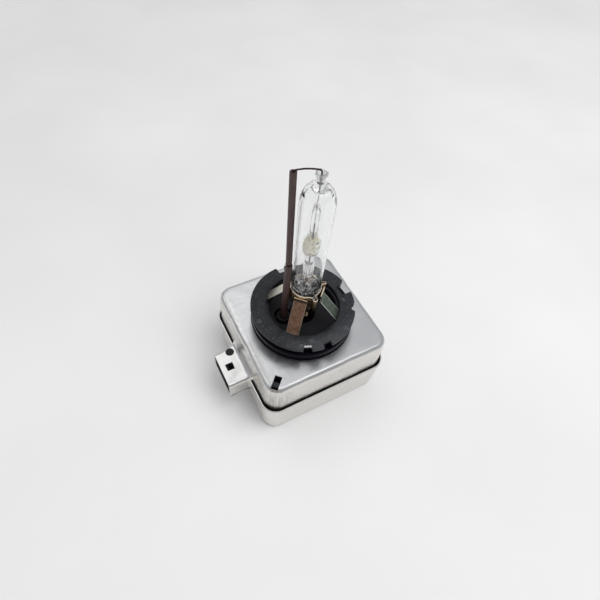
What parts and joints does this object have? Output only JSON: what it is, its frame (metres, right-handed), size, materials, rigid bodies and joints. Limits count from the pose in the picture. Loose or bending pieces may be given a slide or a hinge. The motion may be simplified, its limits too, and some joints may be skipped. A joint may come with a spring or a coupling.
{
  "type": "gas-discharge headlight bulb",
  "caption": "Gas-discharge headlight bulb: quartz burner held in a notched black base flange on a square shielded igniter can with a side connector.",
  "frame": {"origin": "where the bulb axis crosses the reference plane, the top face of the base flange", "axes": "+Z along the bulb axis to the glass tip, -X towards the connector side of the can, and the can's sides parallel to X and Y"},
  "size_m": [0.0507, 0.044, 0.0844],
  "materials": {
    "quartz_jacket": "clear polished quartz",
    "arc_quartz": "clear quartz, slightly wavy",
    "halide_salt": "dry crystalline crust",
    "tungsten": "drawn wire",
    "molybdenum": "rolled foil and drawn wire",
    "oxidised_wire": "dull heat-tinted wire",
    "brown_ceramic": "matt fired ceramic tube",
    "band_metal": "heat-tinted spring strip with bright cut edges",
    "leg_metal": "rolled strip, satin",
    "base_plastic": "glass-filled moulding, fine grain",
    "seal_rubber": "smooth moulded rubber",
    "shield_metal": "deep-drawn plated sheet, scuffed along the bends",
    "housing_plastic": "moulded, matt",
    "connector_plastic": "moulded, matt",
    "contact_metal": "plated contact strip",
    "board_laminate": "lacquered laminate",
    "ferrite": "sintered, dark",
    "bobbin_plastic": "natural moulding",
    "copper_wire": "enamelled copper",
    "white_ceramic": "matt ceramic",
    "cap_metal": "turned",
    "film_case": "moulded case",
    "resistor_body": "lacquered",
    "potting_compound": "cast, semi-gloss"
  },
  "bodies": {
    "root": {"outer_bulb": "quartz_jacket", "arc_tube": "arc_quartz", "halide_fill": "halide_salt", "upper_electrode": "tungsten", "lower_electrode": "tungsten", "upper_foil": "molybdenum", "lower_foil": "molybdenum", "upper_lead": "molybdenum", "lower_lead": "molybdenum", "return_wire": "oxidised_wire", "return_tube_upper": "brown_ceramic", "return_tube_lower": "brown_ceramic", "clamp_ring": "band_metal", "leg_1": "leg_metal", "leg_2": "leg_metal", "leg_3": "leg_metal", "leg_4": "leg_metal", "base_ring": "base_plastic", "seal_ring": "seal_rubber", "upper_shield": "shield_metal", "lower_shield": "shield_metal", "igniter_housing": "housing_plastic", "housing_cover": "housing_plastic", "connector_shell": "connector_plastic", "contact_pin_1": "contact_metal", "contact_pin_2": "contact_metal", "contact_pin_3": "contact_metal", "contact_pin_4": "contact_metal", "circuit_board": "board_laminate", "transformer_core": "ferrite", "transformer_bobbin": "bobbin_plastic", "secondary_winding": "copper_wire", "primary_winding": "copper_wire", "spark_gap_tube": "white_ceramic", "spark_gap_caps": "cap_metal", "pulse_capacitor": "film_case", "bleed_resistor": "resistor_body", "hv_strap": "contact_metal", "return_contact": "contact_metal", "potting": "potting_compound", "shield_spring": "contact_metal"}
  },
  "joints": []
}
